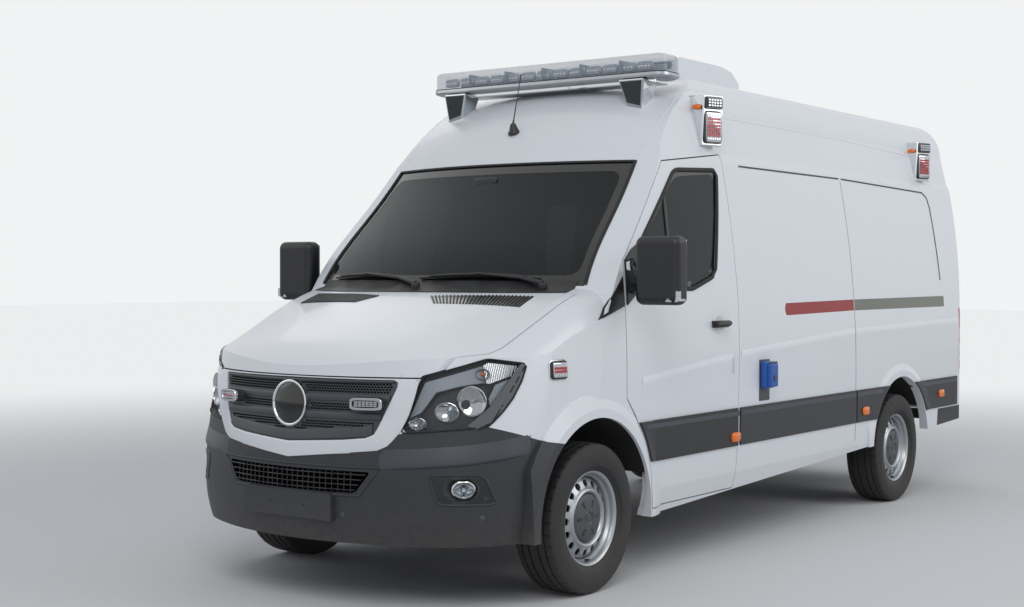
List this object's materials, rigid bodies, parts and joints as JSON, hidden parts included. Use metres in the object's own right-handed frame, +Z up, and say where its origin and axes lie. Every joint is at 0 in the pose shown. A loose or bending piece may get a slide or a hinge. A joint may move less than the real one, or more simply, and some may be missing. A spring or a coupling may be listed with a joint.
{
  "type": "high-roof van ambulance",
  "caption": "High-roof van ambulance with light bar, roof air unit, corner lamps, hinged cab and rear doors, lifting bonnet and steered front wheels.",
  "frame": {"origin": "on the ground under the middle of the overall length and width", "axes": "+Z up, nose towards -Y, vehicle's left side towards +X"},
  "size_m": [2.568, 5.91, 2.7219],
  "materials": {
    "black_plastic": "satin black plastic",
    "bright_metal": "polished",
    "cabin_plastic": "dark moulded trim",
    "cast_metal": "bare casting",
    "chassis_steel": "black painted steel",
    "clear_lens": "clear moulded lens",
    "dark_plastic": "grained dark grey plastic",
    "glass": "tinted vehicle glass",
    "inner_grey": "plain grey lining",
    "lamp_housing": "dark lamp bowl",
    "red_lens": "red moulded lens",
    "seat_fabric": "dark woven cloth",
    "tyre_rubber": "black rubber",
    "underbody_black": "sealed underbody",
    "wheel_silver": "silver paint",
    "white_paint": "gloss paint"
  },
  "bodies": {
    "body": {"floor_pan": "underbody_black", "chassis": "chassis_steel", "rear_axle": "chassis_steel", "front_panels": "white_paint", "front_bumper": "dark_plastic", "grille": "black_plastic", "headlamps": "clear_lens", "headlamp_housings": "lamp_housing", "cab_frame": "white_paint", "body_glass": "glass", "roof_panel": "white_paint", "left_side_panel": "white_paint", "right_side_panel": "white_paint", "sliding_door": "white_paint", "rear_bumper": "dark_plastic", "tail_lamps": "red_lens", "body_strips": "dark_plastic", "bulkheads": "inner_grey", "dashboard": "cabin_plastic", "cab_seats": "seat_fabric", "light_bar_base": "bright_metal", "light_bar_lens": "clear_lens", "roof_air_unit": "white_paint", "corner_lamps": "bright_metal"},
    "left_front_door": {"left_front_door": "white_paint", "left_front_glass": "glass", "left_front_trim": "black_plastic"},
    "right_front_door": {"right_front_door": "white_paint", "right_front_glass": "glass", "right_front_trim": "black_plastic"},
    "left_rear_door": {"left_rear_door": "white_paint", "left_rear_glass": "glass"},
    "right_rear_door": {"right_rear_door": "white_paint", "right_rear_glass": "glass"},
    "bonnet": {"bonnet": "white_paint"},
    "left_knuckle": {"left_knuckle": "cast_metal"},
    "right_knuckle": {"right_knuckle": "cast_metal"},
    "front_left_wheel": {"front_left_tyre": "tyre_rubber", "front_left_rim": "wheel_silver"},
    "front_right_wheel": {"front_right_tyre": "tyre_rubber", "front_right_rim": "wheel_silver"},
    "rear_left_wheel": {"rear_left_tyre": "tyre_rubber", "rear_left_rim": "wheel_silver"},
    "rear_right_wheel": {"rear_right_tyre": "tyre_rubber", "rear_right_rim": "wheel_silver"}
  },
  "joints": [
    {"name": "left_steer", "type": "hinge", "parent": "body", "child": "left_knuckle", "pos_m": [0.775, -1.935, 0.351], "axis": [0, 0, 1], "range_deg": [-32, 32]},
    {"name": "right_steer", "type": "hinge", "parent": "body", "child": "right_knuckle", "pos_m": [-0.775, -1.935, 0.351], "axis": [0, 0, 1], "range_deg": [-32, 32]},
    {"name": "front_left_spin", "type": "hinge", "parent": "left_knuckle", "child": "front_left_wheel", "pos_m": [0.86, -1.935, 0.351], "axis": [1, 0, 0], "continuous": true},
    {"name": "front_right_spin", "type": "hinge", "parent": "right_knuckle", "child": "front_right_wheel", "pos_m": [-0.86, -1.935, 0.351], "axis": [1, 0, 0], "continuous": true},
    {"name": "rear_left_spin", "type": "hinge", "parent": "body", "child": "rear_left_wheel", "pos_m": [0.86, 1.73, 0.351], "axis": [1, 0, 0], "continuous": true},
    {"name": "rear_right_spin", "type": "hinge", "parent": "body", "child": "rear_right_wheel", "pos_m": [-0.86, 1.73, 0.351], "axis": [1, 0, 0], "continuous": true},
    {"name": "left_front_door_hinge", "type": "hinge", "parent": "body", "child": "left_front_door", "pos_m": [1, -1.677, 1.1], "axis": [0, 0, -1], "range_deg": [0, 70]},
    {"name": "right_front_door_hinge", "type": "hinge", "parent": "body", "child": "right_front_door", "pos_m": [-1, -1.677, 1.1], "axis": [0, 0, 1], "range_deg": [0, 70]},
    {"name": "left_rear_door_hinge", "type": "hinge", "parent": "body", "child": "left_rear_door", "pos_m": [0.845, 2.934, 1.4], "axis": [0, 0, -1], "range_deg": [0, 180]},
    {"name": "right_rear_door_hinge", "type": "hinge", "parent": "body", "child": "right_rear_door", "pos_m": [-0.845, 2.934, 1.4], "axis": [0, 0, 1], "range_deg": [0, 180]},
    {"name": "bonnet_hinge", "type": "hinge", "parent": "body", "child": "bonnet", "pos_m": [0, -1.909, 1.395], "axis": [-1, 0, 0], "range_deg": [0, 60]}
  ],
  "couplings": [
    {"joint": "right_steer", "follows": "left_steer", "ratio": 1}
  ]
}
